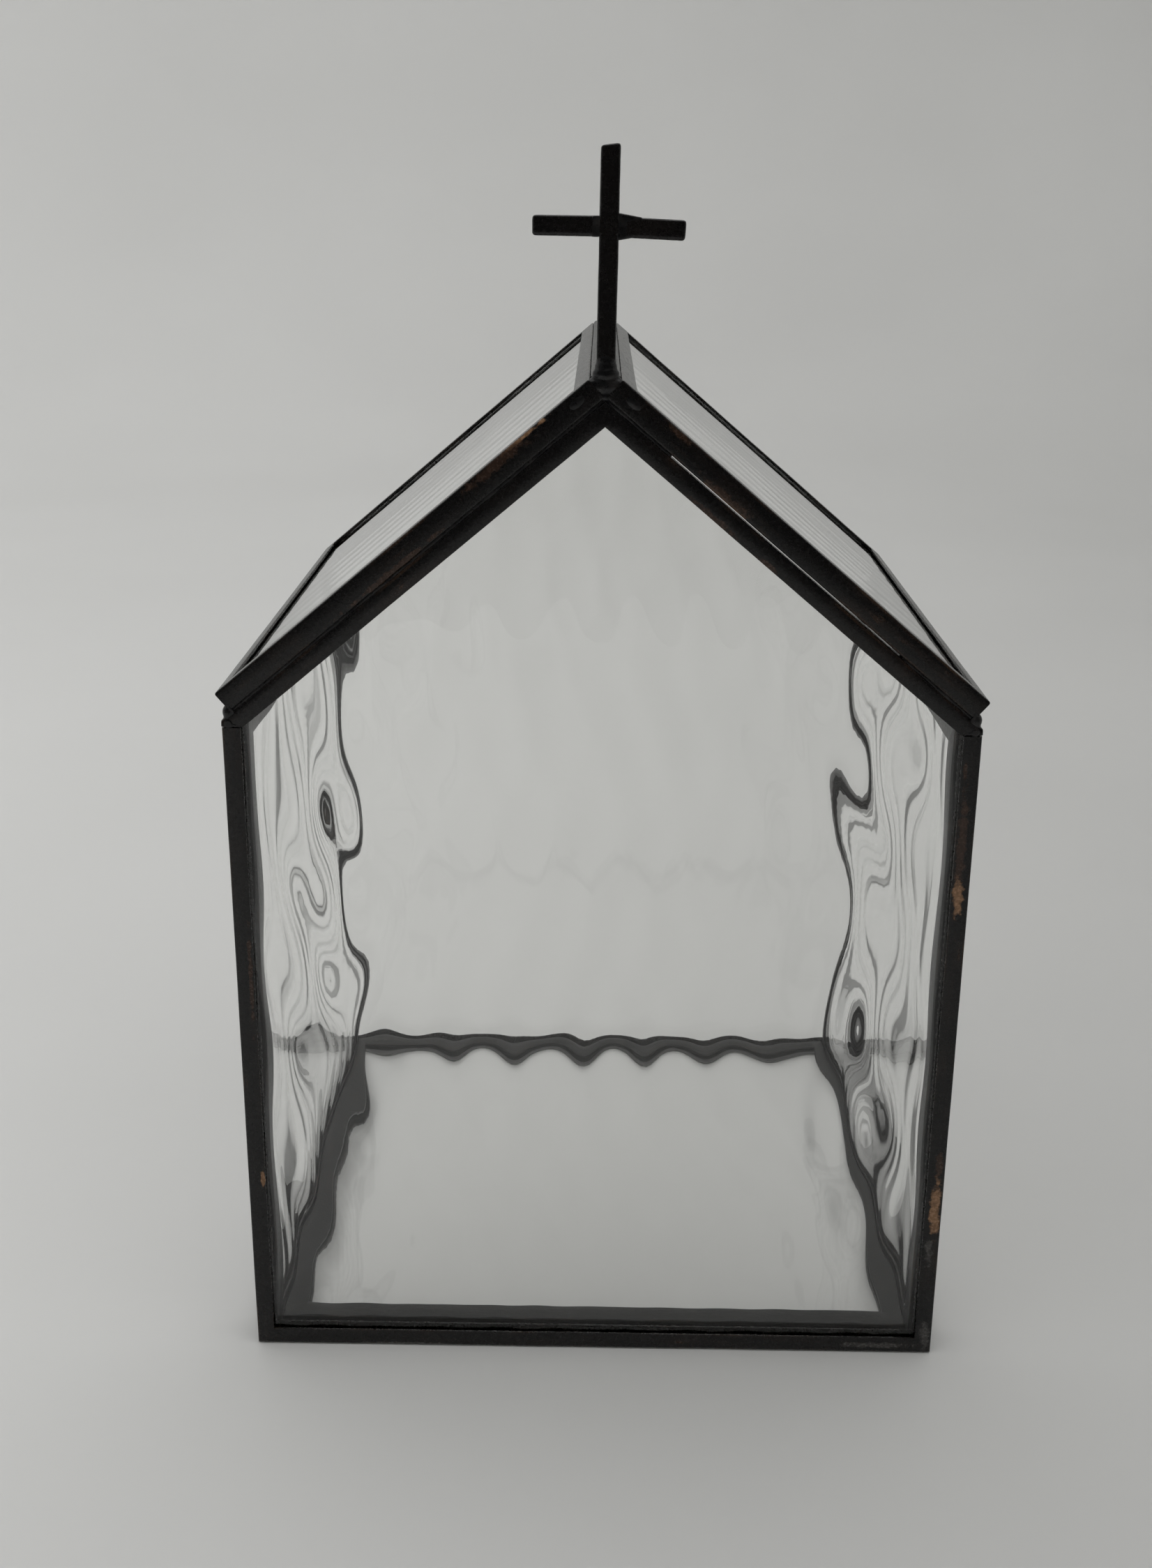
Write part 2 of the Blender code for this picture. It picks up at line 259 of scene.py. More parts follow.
def stretched(tree, vector, scale):
    """The place scaled along each axis, so that noise on it is drawn out."""
    inputs = {0: vector, 1: scale}
    return add_node(tree, "VectorMath", inputs, operation="MULTIPLY").outputs[0]


# ------------------------------------------------------------------- materials

def glass_material():
    """Clear glass with hardly any tint."""
    material, _, shader = new_material("clear_wavy_glass", "drawn_glass")
    shader.inputs["Base Color"].default_value = (0.990, 0.992, 0.986, 1)
    shader.inputs["Roughness"].default_value = 0.0
    shader.inputs["IOR"].default_value = 1.47
    shader.inputs["Transmission Weight"].default_value = 1.0
    return material


def spot_frame(node, share, shift):
    """Middle and tilt of a worn spot on a channel of the front: the tilt turns +Z along the channel."""
    bm = node_mesh(node)
    along = longest_direction(bm)
    points = [vert.co.copy() for vert in bm.verts]
    bm.free()
    if (along.x if abs(along.z) < 0.1 else along.z) < 0:  # upwards, or to the right along the bottom
        along = -along
    outward = Vector((along.z, 0, -along.x))
    middle = sum(points, Vector()) / len(points)
    if outward.dot(middle - INSIDE) < 0:
        outward = -outward
    front = min(point.y for point in points)
    low = min(along.dot(point) for point in points)
    high = max(along.dot(point) for point in points)
    inner = min(outward.dot(point) for point in points)
    outer = max(outward.dot(point) for point in points)
    place = along * (low + share * (high - low)) + outward * ((inner + outer) / 2 + shift)
    place.y = front
    return place, math.atan2(along.x, along.z)


def worn_spot(tree, place, ragged, spot):
    """Mask of one worn spot, with ragged edges."""
    node, share, shift, half_length, half_width, _ = spot
    middle, tilt = spot_frame(node, share, shift)
    inputs = {"Vector": place, "Location": middle, "Rotation": (0, tilt, 0)}
    inputs["Scale"] = (half_width, SPOT_DEPTH, half_length)
    local = add_node(tree, "Mapping", inputs, vector_type="TEXTURE").outputs[0]
    distance = add_node(tree, "VectorMath", {0: local}, operation="LENGTH").outputs["Value"]
    return ramp(tree, maths(tree, "ADD", distance, ragged), 1.25, 0.70)


def patina_material(name, gloss, roughness, mottle, spots=()):
    """Black patina on brass, thin and brown in streaks, rubbed to bronze on edges and in spots.

    The point attribute "along" is the place along the channel and across it, and the face attribute "edge"
    marks the rounded edges.
    """
    material, tree, shader = new_material(name, "patinated_brass")
    shader.inputs["Specular IOR Level"].default_value = gloss
    place = add_node(tree, "TexCoord").outputs["Object"]
    along = add_node(tree, "Attribute", attribute_name="along").outputs["Vector"]
    edge = add_node(tree, "Attribute", attribute_name="edge").outputs["Fac"]

    streak = noise_value(tree, stretched(tree, along, (60, 700, 700)), 1.0, 4.0, 0.6)
    cloud = noise_value(tree, place, 70.0, 4.0, 0.6)
    grain = noise_value(tree, place, 1400.0, 3.0, 0.65)

    brown = maths(tree, "MULTIPLY", ramp(tree, streak, 0.45, 0.75), ramp(tree, cloud, 0.40, 0.70))
    colour = blend_colour(tree, brown, BLACK, THIN_BROWN)
    speck = ramp(tree, grain, 0.62, 0.74, 0.0, mottle)
    colour = blend_colour(tree, speck, colour, DUSTY)
    rub = maths(tree, "MULTIPLY", ramp(tree, cloud, 0.64, 0.74), ramp(tree, streak, 0.52, 0.64))
    worn_edge = maths(tree, "MULTIPLY", edge, ramp(tree, cloud, 0.50, 0.70, 0.0, 0.15))
    worn = maths(tree, "MAXIMUM", maths(tree, "MULTIPLY", rub, 0.5), worn_edge)
    colour = blend_colour(tree, worn, colour, RUBBED)
    ragged = ramp(tree, noise_value(tree, place, 420.0, 5.0, 0.65), 0.3, 0.7, -0.7, 0.7)
    patchy = ramp(tree, grain, 0.3, 0.6, 0.45, 1.0)
    for spot in spots:
        mask = maths(tree, "MULTIPLY", worn_spot(tree, place, ragged, spot), patchy)
        colour = blend_colour(tree, mask, colour, spot[-1])
    tree.links.new(colour, shader.inputs["Base Color"])
    tree.links.new(ramp(tree, worn, 0.0, 1.0, 0.0, 0.8), shader.inputs["Metallic"])
    rough = ramp(tree, grain, 0.3, 0.7, roughness - 0.05, roughness + 0.07)
    tree.links.new(rough, shader.inputs["Roughness"])
    height = maths(tree, "ADD", grain, maths(tree, "MULTIPLY", streak, 0.6))
    bump = add_node(tree, "Bump", {"Strength": 0.06 + mottle * 0.2, "Distance": 0.0004, "Height": height})
    tree.links.new(bump.outputs["Normal"], shader.inputs["Normal"])
    return material


def solder_material():
    """Solder that flowed and was blackened: smoother and cooler than the brass."""
    material, tree, shader = new_material("blackened_solder", "patinated_solder")
    place = add_node(tree, "TexCoord").outputs["Object"]
    lumps = noise_value(tree, place, 350.0, 3.0, 0.5)
    grain = noise_value(tree, place, 1600.0, 2.0, 0.6)
    colour = blend_colour(tree, ramp(tree, lumps, 0.50, 0.75), SOLDER_BLACK, SOLDER_GREY)
    tree.links.new(colour, shader.inputs["Base Color"])
    shader.inputs["Specular IOR Level"].default_value = 0.36
    tree.links.new(ramp(tree, grain, 0.3, 0.7, 0.24, 0.40), shader.inputs["Roughness"])
    height = maths(tree, "ADD", lumps, maths(tree, "MULTIPLY", grain, 0.3))
    bump = add_node(tree, "Bump", {"Strength": 0.3, "Distance": 0.0006, "Height": height})
    tree.links.new(bump.outputs["Normal"], shader.inputs["Normal"])
    return material


def paper_material():
    """Pale sweep with painted shade: its colour darkens to the right, as the light falls off, with faint
    broad clouds.
    """
    material, tree, shader = new_material("pale_paper")
    place = add_node(tree, "TexCoord").outputs["Object"]
    axes = add_node(tree, "SeparateXYZ", {0: place}).outputs
    reach = maths(tree, "ADD", maths(tree, "MAXIMUM", axes["Y"], 0.0), PAPER_REACH)
    across = maths(tree, "DIVIDE", axes["X"], reach)
    cloud = ramp(tree, noise_value(tree, place, 3.5, 2.0, 0.5), 0.3, 0.7, -0.05, 0.05)
    # painted shade: the paper's colour darkens to the right, as the light falls off
    share = ramp(tree, maths(tree, "ADD", across, cloud), -0.5, 0.5)
    painted_falloff = blend_colour(tree, share, PAPER_LIT_TINT, PAPER_SHADED_TINT)
    tree.links.new(painted_falloff, shader.inputs["Base Color"])
    shader.inputs["Roughness"].default_value = 0.9
    shader.inputs["Specular IOR Level"].default_value = 0.1
    return material


# ------------------------------------------------------------- reading the frame

def node_mesh(node):
    """A bmesh of a CAD node, with its triangles joined into flat faces."""
    bm = bmesh.new()
    bm.from_mesh(frame["nodes"][node].data)
    bmesh.ops.remove_doubles(bm, verts=bm.verts, dist=1e-6)
    bmesh.ops.dissolve_limit(bm, angle_limit=math.radians(1), verts=bm.verts, edges=bm.edges)
    return bm


def pane_axes(node):
    """Middle of a CAD pane, its axes (across, up, outwards) and its half thickness and outline."""
    bm = node_mesh(node)
    largest = max(bm.faces, key=lambda face: face.calc_area())
    out = largest.normal.copy()
    points = [vert.co.copy() for vert in bm.verts]
    bm.free()
    middle = sum(points, Vector()) / len(points)
    if out.dot(middle - INSIDE) < 0:
        out = -out
    up = Vector((0, 1, 0)) if abs(out.z) > 0.9 else Vector((0, 0, 1))
    up = (up - out * up.dot(out)).normalized()
    across = up.cross(out)
    half = max(out.dot(point - middle) for point in points)
    face = [point - middle for point in points if out.dot(point - middle) > 0]
    outline = [Vector((across.dot(point), up.dot(point))) for point in face]
    outline.sort(key=lambda corner: math.atan2(corner.y, corner.x))
    return middle, (across, up, out), half, outline


def add_piece(name, bm, material, body):
    """An object of a bmesh, smooth-shaded, which rides on a body and has its material's slot."""
    mesh = bpy.data.meshes.new(name)
    bm.to_mesh(mesh)
    bm.free()
    mesh.materials.append(material)
    piece = bpy.data.objects.new(name, mesh)
    bpy.context.scene.collection.objects.link(piece)
    mesh.shade_smooth()
    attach(piece, body)
    return piece


def body_of(node):
    return frame["nodes"][node]["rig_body"]


# ------------------------------------------------------------------------ glass

def wave_field(depth, length, seed):
    """Height of one face of a drawn pane, at places across and along the direction of drawing."""
    random = np.random.default_rng(seed)
    across = 2 * math.pi / WAVE_ACROSS * random.normal(1.0, SPREAD_ACROSS, WAVE_COUNT)
    along = 2 * math.pi / length * random.normal(1.0, SPREAD_ALONG, WAVE_COUNT)
    along *= random.choice((-1, 1), WAVE_COUNT)
    phase = random.uniform(0, 2 * math.pi, WAVE_COUNT)

    def height(u, v):
        total = np.cos(np.outer(u, across) + np.outer(v, along) + phase).sum(axis=1)
        return depth * total / WAVE_COUNT ** 0.5 / 2

    return height


def pane_sheet(outline):
    """A flat grid cut to a pane's outline."""
    low = Vector((min(c.x for c in outline), min(c.y for c in outline)))
    high = Vector((max(c.x for c in outline), max(c.y for c in outline)))
    size = high - low
    columns = math.ceil(size.x / CELL_ACROSS)
    rows = math.ceil(size.y / CELL_ALONG)
    bm = bmesh.new()
    bmesh.ops.create_grid(bm, x_segments=columns, y_segments=rows, size=0.5)
    bmesh.ops.scale(bm, vec=(size.x, size.y, 1), verts=bm.verts)
    bmesh.ops.translate(bm, vec=((low + high) / 2).to_3d(), verts=bm.verts)
    for start, end in zip(outline, outline[1:] + outline[:1]):
        side = end - start
        if min(abs(side.x), abs(side.y)) < 1e-5:  # this side is the grid's own
            continue
        outward = Vector((side.y, -side.x, 0)).normalized()
        everything = bm.verts[:] + bm.edges[:] + bm.faces[:]
        bmesh.ops.bisect_plane(
            bm, geom=everything, plane_co=start.to_3d(), plane_no=outward, clear_outer=True,
        )
    return bm


def add_pane(node, material):
    """Drawn glass in place of a CAD pane: two wavy faces and the edge between them."""
    depth, length, seed = WAVES[node]
    middle, axes, half, outline = pane_axes(node)
    sheet = pane_sheet(outline)
    sheet.verts.index_update()
    flat = np.array([vert.co[:2] for vert in sheet.verts])
    faces = [[vert.index for vert in face.verts] for face in sheet.faces]
    rim_loops = [edge.link_loops[0] for edge in sheet.edges if edge.is_boundary]
    rim = [[loop.vert.index, loop.link_loop_next.vert.index] for loop in rim_loops]
    sheet.free()
    frame_axes = np.array([list(axis) for axis in axes])
    count = len(flat)
    sides = []
    for side, sign in enumerate((1, -1)):
        height = sign * (half + wave_field(depth, length, 2 * seed + side)(flat[:, 0], flat[:, 1]))
        local = np.column_stack((flat, height))
        sides.append(local @ frame_axes + np.array(middle))
    points = np.vstack(sides)
    polygons = faces + [[index + count for index in reversed(face)] for face in faces]
    polygons += [[b, a, a + count, b + count] for a, b in rim]
    mesh = bpy.data.meshes.new(f"drawn_{node}")
    mesh.from_pydata(points.tolist(), [], polygons)
    mesh.update()
    bm = bmesh.new()
    bm.from_mesh(mesh)
    bpy.data.meshes.remove(mesh)
    bmesh.ops.recalc_face_normals(bm, faces=bm.faces)
    for edge in bm.edges:
        edge.smooth = edge.calc_face_angle(0) < GLASS_EDGE
    piece = add_piece(f"drawn_{node}", bm, material, body_of(node))
    if node != DIMMING_PANE:
        piece.visible_diffuse = False
        piece.visible_shadow = False
    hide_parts(node)


# ------------------------------------------------------------------------ metal

def longest_direction(bm):
    """Direction of the longest edge, which is a channel's own."""
    edge = max(bm.edges, key=lambda item: item.calc_length())
    return (edge.verts[1].co - edge.verts[0].co).normalized()


def wobble(point, size):
    """A small smooth displacement that depends on the place alone, so that neighbours stay together."""
    slow = noise.noise_vector(point * WOBBLE_WAVES) * size
    return slow + noise.noise_vector(point * RIPPLE_WAVES) * size * RIPPLE_SHARE


def soldered_flush(node, place):
    """Whether a channel's end runs into its neighbour. The gables' channels meet apart at the eaves."""
    if "slope" in node:
        return abs(place.x) < 0.02
    if node in GABLE_UPRIGHTS:
        return place.z < 0.02
    return node.endswith("_came")


def is_fold(edge):
    """Whether an edge lies between two broad faces, as the folded corners of a channel do."""
    narrowest = min(face.calc_area() for face in edge.link_faces) / edge.calc_length()
    return edge.calc_face_angle_signed(0) > 0 and narrowest > 2 * FOLD_ROUND


def round_off(bm, edges, size, segments):
    """Rounds edges, and gives the new faces."""
    return bmesh.ops.bevel(
        bm, geom=edges, offset=size, offset_type="OFFSET", segments=segments, profile=0.5,
        affect="EDGES", clamp_overlap=True,
    )["faces"]


def fold_round(node):
    """Radius of a channel's folded corners: larger beside the seams that show."""
    if node.endswith("slope_came"):
        return SLOPE_FOLD_ROUND
    if node.endswith(("roof_front_came", "roof_back_came")):
        return ROOF_FOLD_ROUND
    return FOLD_ROUND


def worn_copy(node, material, swell, sway):
    """A CAD channel or bead as it was made: its edges rounded, and slightly uneven along its length."""
    bm = node_mesh(node)
    edge_layer = bm.faces.layers.float.new("edge")
    along_layer = bm.verts.layers.float_vector.new("along")
    along = longest_direction(bm)
    for face in bm.faces:
        if abs(face.normal.dot(along)) > 0.1 and soldered_flush(node, face.calc_center_median()):
            bmesh.ops.translate(bm, verts=face.verts, vec=face.normal * SEAM_OVERLAP)
    for wanted, size, segments in ((True, fold_round(node), 4), (False, EDGE_ROUND, 2)):
        edges = [
            edge for edge in bm.edges
            if edge.calc_face_angle(0) > math.radians(60)
            and abs((edge.verts[1].co - edge.verts[0].co).normalized().dot(along)) > 0.99
            and is_fold(edge) == wanted
        ]
        for face in round_off(bm, edges, size, segments):
            face[edge_layer] = 1.0
    reach = [along.dot(vert.co) for vert in bm.verts]
    start, end = min(reach), max(reach)
    for step in range(1, int((end - start) / SLICE)):
        everything = bm.verts[:] + bm.edges[:] + bm.faces[:]
        cut = along * (start + step * SLICE)
        bmesh.ops.bisect_plane(bm, geom=everything, plane_co=cut, plane_no=along)
    aside = along.orthogonal().normalized()
    third = along.cross(aside)
    bm.normal_update()
    for vert in bm.verts:
        vert[along_layer] = (along.dot(vert.co), aside.dot(vert.co), third.dot(vert.co))
        outward = vert.normal - along * vert.normal.dot(along)
        vert.co += outward * swell + wobble(vert.co, sway)
    for edge in bm.edges:
        edge.smooth = edge.calc_face_angle(0) < METAL_EDGE
    piece = add_piece(f"worn_{node}", bm, material, body_of(node))
    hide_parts(node)
    return piece


# ----------------------------------------------------------------------- solder

def add_ridge_or_eave(node, material):
    """The solder along the ridge or an eave. An eave's ends are drawn in behind the gables' uprights."""
    if node == "ridge_solder":
        worn_copy(node, material, RIDGE_SWELL, WOBBLE * 2)
        return
    piece = worn_copy(node, material, EAVE_SWELL, WOBBLE * 2)
    low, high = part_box(node)
    for vert in piece.data.vertices:
        nearest = min(vert.co.y - low.y, high.y - vert.co.y)
        share = min(1.0, max(0.0, 1 - nearest / EAVE_TAPER))
        vert.co.x -= math.copysign(EAVE_SINK * share, vert.co.x)


def bead_rings(bm, start, end, radius):
    """A lumpy round bead from one point to another, thinner at its ends."""
    along = (end - start).normalized()
    aside = along.orthogonal().normalized()
    third = along.cross(aside)
    length = (end - start).length
    steps = max(4, round(length / BEAD_STEP))
    rings = []
    for step in range(steps + 1):
        middle = start.lerp(end, step / steps)
        taper = min(1.0, BEAD_TIP + min(step, steps - step) * BEAD_GROWTH)
        size = radius * taper * (1 + BEAD_LUMP * noise.noise(middle * LUMP_WAVES))
        ring = []
        for side in range(BEAD_SIDES):
            angle = 2 * math.pi * side / BEAD_SIDES
            ring.append(bm.verts.new(middle + (aside * math.cos(angle) + third * math.sin(angle)) * size))
        rings.append(ring)
    for ring, following in zip(rings, rings[1:]):
        for side in range(BEAD_SIDES):
            after = (side + 1) % BEAD_SIDES
            bm.faces.new((ring[side], ring[after], following[after], following[side]))
    bm.faces.new(rings[0][::-1])
    bm.faces.new(rings[-1])


def add_beads(name, runs, radius, material):
    """Beads along one seam, as one piece on the cover."""
    bm = bmesh.new()
    for start, end in runs:
        bead_rings(bm, start, end, radius)
    bmesh.ops.recalc_face_normals(bm, faces=bm.faces)
    add_piece(name, bm, material, "cover")


def soften(piece, sweeps):
    """Remeshes a piece into one skin, rounds it and makes it slightly uneven, within the frame's depth."""
    melt = piece.modifiers.new("melt", "REMESH")
    melt.mode = "VOXEL"
    melt.voxel_size = MELT_CELL
    flow = piece.modifiers.new("flow", "SMOOTH")
    flow.factor = 0.5
    flow.iterations = sweeps
    melted = bpy.data.meshes.new_from_object(piece.evaluated_get(bpy.context.evaluated_depsgraph_get()))
    piece.modifiers.clear()
    front = cad_box[0][1] - PROUD_LIMIT
    back = cad_box[1][1] + PROUD_LIMIT
    for vert in melted.vertices:
        vert.co += wobble(vert.co, WOBBLE)
        vert.co.y = min(max(vert.co.y, front), back)
    piece.data = melted
    melted.shade_smooth()


def add_melt(name, lumps, material, replaced=()):
    """Flowed solder: lumps melted into one skin. A lump has a middle, three radii and a tilt about Y."""
    bm = bmesh.new()
    for middle, radii, tilt in lumps:
        place = Matrix.LocRotScale(Vector(middle), Euler((0, tilt, 0)), Vector(radii))
        bmesh.ops.create_icosphere(bm, subdivisions=4, radius=1, matrix=place)
    piece = add_piece(name, bm, material, "cover")
    soften(piece, MELT_SWEEPS)
    for node in replaced:
        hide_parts(node)


def slope_seam(end, side):
    """The seam between a roof pane's channel and the gable's: top, foot, and the directions down and out."""
    node = f"{end}_{side}_slope_came"
    bm = node_mesh(node)
    points = [vert.co.copy() for vert in bm.verts]
    down = longest_direction(bm)
    bm.free()
    if down.z > 0:
        down = -down
    sign = 1 if side == "right" else -1
    edge = max(sign * point.x for point in points)
    normal = Vector((-down.z * sign, 0, down.x * sign))
    level = max(normal.dot(point) for point in points) + SEAM_GAP / 2
    low = min(down.dot(point) for point in points)
    high = (sign * (edge - SEAM_BEAD) - normal.x * level) / down.x
    return normal * level + down * low, normal * level + down * high, down, normal


def add_seam_beads(material):
    """Recessed solder in the seams under the slopes. The front's right one is open between its ends."""
    recess = SEAM_RECESS + SEAM_BEAD
    for end in ("front", "back"):
        low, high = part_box(f"{end}_left_slope_came")
        depths = (low.y + recess, high.y - recess)
        for side in ("left", "right"):
            top, foot, down, _ = slope_seam(end, side)
            spans = [(top, foot)]
            if (end, side) == ("front", "right"):
                spans = [(top, top + down * OPEN_SEAM[0]), (top + down * OPEN_SEAM[1], foot)]
            runs = [
                (Vector((start.x, y, start.z)), Vector((stop.x, y, stop.z)))
                for start, stop in spans for y in depths
            ]
            add_beads(f"{end}_{side}_seam", runs, SEAM_BEAD, material)


def add_corner_beads(material):
    """Solder up the outer corners, between the gables' uprights and the walls."""
    for end in ("front", "back"):
        for side in ("left", "right"):
            low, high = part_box(f"{end}_{side}_came")
            wall_low, wall_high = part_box(f"{side}_wall_{end}_came")
            inset = CORNER_BEAD - CORNER_BEAD_PROUD
            x = high.x - inset if side == "right" else low.x + inset
            y = (high.y + wall_low.y) / 2 if end == "front" else (low.y + wall_high.y) / 2
            runs = [(Vector((x, y, low.z + CORNER_BEAD)), Vector((x, y, high.z)))]
            add_beads(f"{end}_{side}_corner_bead", runs, CORNER_BEAD, material)


def add_eave_drops(material):
    """Drops that close the notch where slope, upright and roof channel meet."""
    for end, sign in (("front", 1), ("back", -1)):
        for side, outward in (("left", -1), ("right", 1)):
            low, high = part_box(f"{end}_{side}_came")
            x = (high.x if outward > 0 else low.x) - outward * DROP_IN
            y = low.y + DROP_BEHIND if sign > 0 else high.y - DROP_BEHIND
            lumps = [
                ((x, y, high.z + 0.0009), (0.0014, 0.0016, 0.0016), 0),  # on the upright
                ((x, y, high.z + 0.0030), (0.0013, 0.0015, 0.0016), 0),  # under the roof channel
                ((x, y + sign * 0.0018, high.z + 0.0014), (0.0014, 0.0020, 0.0020), 0),  # over the wall
                ((x - outward * 0.0012, y, high.z + 0.0006), (0.0014, 0.0014, 0.0008), 0),  # along the joint
            ]
            add_melt(f"{end}_{side}_eave_drop", lumps, material)


# ------------------------------------------------------------------------ cross

def add_cross_foot(material):
    """The solder that holds the cross and closes the ridge's front end, flowed over the slopes' tops."""
    low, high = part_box("cross_collar_solder")
    x = (low.x + high.x) / 2
    y = low.y + FOOT_BEHIND
    lumps = [  # from the ridge up to the post, narrower with height, and one in the corner below
        ((x, y, low.z + 0.0018), (0.0038, FOOT_DEPTH, 0.0022), 0),
        ((x, y, low.z + 0.0040), (0.0026, FOOT_DEPTH, 0.0015), 0),
        ((x, y, low.z + 0.0052), (0.00215, 0.0020, 0.0016), 0),
        ((x, y, high.z + 0.0004), (0.00195, 0.0019, 0.0018), 0),
        ((x, y - 0.0002, low.z), (0.0016, 0.0018, 0.0012), 0),
    ]
    for side in ("left", "right"):
        top, _, down, outward = slope_seam("front", side)
        place = top + down * FOOT_DOWN + outward * FOOT_OUT
        tilt = math.atan2(-down.z, down.x)
        lumps.append(((place.x, y, place.z), (0.0040, FOOT_DEPTH, 0.0020), tilt))
    add_melt("cross_foot_solder", lumps, material, ["cross_collar_solder"])


def add_cross_joint(node, material):
    """The solder between the post and an arm, drawn out over both. The right one is a wedge."""
    low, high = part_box(node)
    middle = (low + high) / 2
    bm = node_mesh(node)
    bmesh.ops.scale(bm, vec=JOINT_SPREAD, space=Matrix.Translation(-middle), verts=bm.verts)
    if node == "cross_right_solder":
        for vert in bm.verts:
            outer = vert.co.x > middle.x
            vert.co.x += WEDGE_REACH if outer else 0
            vert.co.z = middle.z + (vert.co.z - middle.z) * (WEDGE_END if outer else WEDGE_RISE)
            vert.co.y = middle.y + (vert.co.y - middle.y) * (WEDGE_END if outer else 1)
    piece = add_piece(f"worn_{node}", bm, material, "cover")
    soften(piece, MELT_SWEEPS)
    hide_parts(node)


def add_cross_bar(node, material):
    """A bar of the cross, its corners filed round; the post's top is cut aslant."""
    low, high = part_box(node)
    bm = node_mesh(node)
    if node.endswith("_arm"):
        inwards = -1 if low.x > 0 else 1
        inner = min(inwards * -vert.co.x for vert in bm.verts)
        for vert in bm.verts:
            if inwards * -vert.co.x < inner + ARM_END:
                vert.co.x += inwards * ARM_ROOT
    piece = add_piece(f"worn_{node}", bm, material, "cover")
    soften(piece, BAR_SWEEPS)
    if node == "cross_post":
        for vert in piece.data.vertices:
            share = max(0.0, (vert.co.z - high.z) / SLANT_REACH + 1)
            vert.co.z -= share * TOP_SLANT * (high.x - vert.co.x) / (high.x - low.x)
    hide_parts(node)


# ----------------------------------------------------------------------- studio

def add_camera():
    """The camera, from its place, its pitch, yaw and roll."""
    forward = Vector((
        -math.sin(CAMERA_YAW) * math.cos(CAMERA_PITCH),
        math.cos(CAMERA_YAW) * math.cos(CAMERA_PITCH),
        -math.sin(CAMERA_PITCH),
    ))
    level = forward.cross(Vector((0, 0, 1))).normalized()
    upright = level.cross(forward)
    right = level * math.cos(CAMERA_ROLL) + upright * math.sin(CAMERA_ROLL)
    up = upright * math.cos(CAMERA_ROLL) - level * math.sin(CAMERA_ROLL)
    camera = bpy.data.objects.new("camera", bpy.data.cameras.new("camera"))
    bpy.context.scene.collection.objects.link(camera)
    turn = Matrix((right, up, -forward)).transposed().to_4x4()
    camera.matrix_world = Matrix.Translation(CAMERA_PLACE) @ turn
    camera.data.sensor_width = CAMERA_SENSOR
    camera.data.lens = CAMERA_LENS
    camera.data.clip_start = CAMERA_NEAR
    bpy.context.scene.camera = camera


def add_sweep():
    """The paper: a flat disc that curves up all round into a low wall."""
    profile = [Vector((0, 0, 0)), Vector((SWEEP_FLAT, 0, 0))]
    for step in range(1, SWEEP_STEPS + 1):
        angle = math.pi / 2 * step / SWEEP_STEPS
        profile.append(Vector((
            SWEEP_FLAT + SWEEP_CURVE * math.sin(angle), 0, SWEEP_CURVE * (1 - math.cos(angle))
        )))
    profile.append(profile[-1] + Vector((0, 0, SWEEP_WALL)))
    bm = bmesh.new()
    verts = [bm.verts.new(point) for point in profile]
    edges = [bm.edges.new(pair) for pair in zip(verts, verts[1:])]
    bmesh.ops.spin(
        bm, geom=verts + edges, cent=(0, 0, 0), axis=(0, 0, 1), angle=2 * math.pi,
        steps=SWEEP_SIDES, use_merge=True,
    )
    bmesh.ops.remove_doubles(bm, verts=bm.verts, dist=1e-5)
    bmesh.ops.recalc_face_normals(bm, faces=bm.faces)
    bmesh.ops.translate(bm, vec=(0, 0, -FLOOR_DROP), verts=bm.verts)
    mesh = bpy.data.meshes.new("paper_sweep")
    bm.to_mesh(mesh)
    bm.free()
    mesh.shade_smooth()
    mesh.materials.append(paper_material())
    sweep = bpy.data.objects.new("paper_sweep", mesh)
    bpy.context.scene.collection.objects.link(sweep)


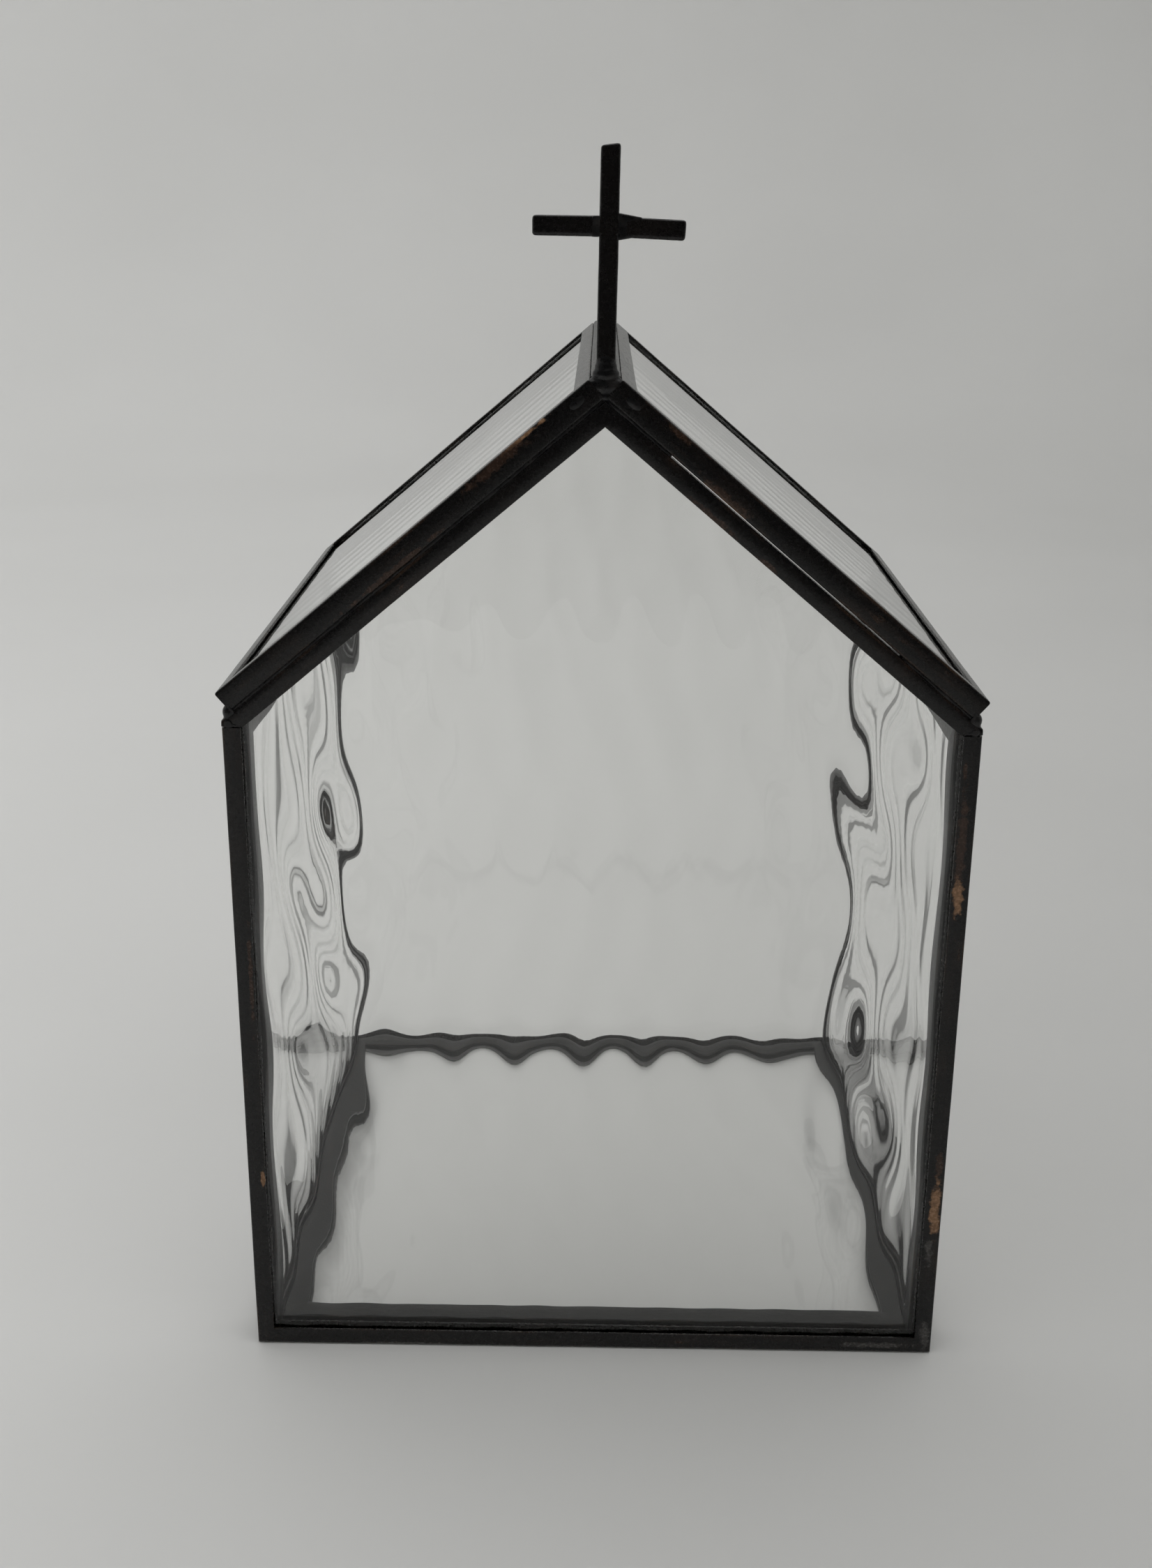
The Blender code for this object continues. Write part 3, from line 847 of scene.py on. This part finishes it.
def add_dark_room():
    """The dark room beyond the table's front edge, which shows only in reflections."""
    bm = bmesh.new()
    bmesh.ops.create_grid(bm, x_segments=1, y_segments=1, size=0.5)
    bmesh.ops.scale(bm, vec=(*ROOM_SIZE, 1), verts=bm.verts)
    bmesh.ops.rotate(bm, verts=bm.verts, matrix=Matrix.Rotation(math.pi / 2 - ROOM_LEAN, 3, "X"))
    bmesh.ops.translate(bm, vec=ROOM_PLACE, verts=bm.verts)
    mesh = bpy.data.meshes.new("dark_room")
    bm.to_mesh(mesh)
    bm.free()
    material, _, shader = new_material("dark_room")
    shader.inputs["Base Color"].default_value = (0.02, 0.02, 0.02, 1)
    mesh.materials.append(material)
    card = bpy.data.objects.new("dark_room", mesh)
    bpy.context.scene.collection.objects.link(card)
    card.visible_camera = False
    card.visible_diffuse = False
    card.visible_transmission = False
    card.visible_shadow = False


def add_sky():
    """An even, nearly white sky."""
    world = bpy.data.worlds.new("studio")
    bpy.context.scene.world = world
    world.use_nodes = True
    sky = world.node_tree.nodes["Background"]
    sky.inputs["Color"].default_value = SKY_COLOUR
    sky.inputs["Strength"].default_value = SKY_STRENGTH


def main():
    add_camera()
    add_sweep()
    add_dark_room()
    add_sky()
    glass = glass_material()
    brass = patina_material("worn_patina", 0.34, 0.25, 0.1, WORN_SPOTS)
    rough_brass = patina_material("rough_patina", 0.20, 0.34, 1.0)
    solder = solder_material()
    for node in WAVES:
        add_pane(node, glass)
    for node in sorted(frame["nodes"]):
        if node in CROSS_BARS:
            add_cross_bar(node, brass)
        elif node in ("cross_left_solder", "cross_right_solder"):
            add_cross_joint(node, solder)
        elif node in ("ridge_solder", "left_eave_solder", "right_eave_solder"):
            add_ridge_or_eave(node, solder)
        elif not node.endswith(("_glass", "_solder")):
            rough = "_wall_" in node or node.startswith("base_")
            worn_copy(node, rough_brass if rough else brass, 0, WOBBLE)
    add_seam_beads(solder)
    add_corner_beads(solder)
    add_eave_drops(solder)
    add_cross_foot(solder)
    scene = bpy.context.scene
    scene.view_settings.view_transform = "Standard"
    scene.cycles.max_bounces = LIGHT_BOUNCES
    scene.cycles.transmission_bounces = LIGHT_BOUNCES
    scene.cycles.diffuse_bounces = SOFT_BOUNCES


main()
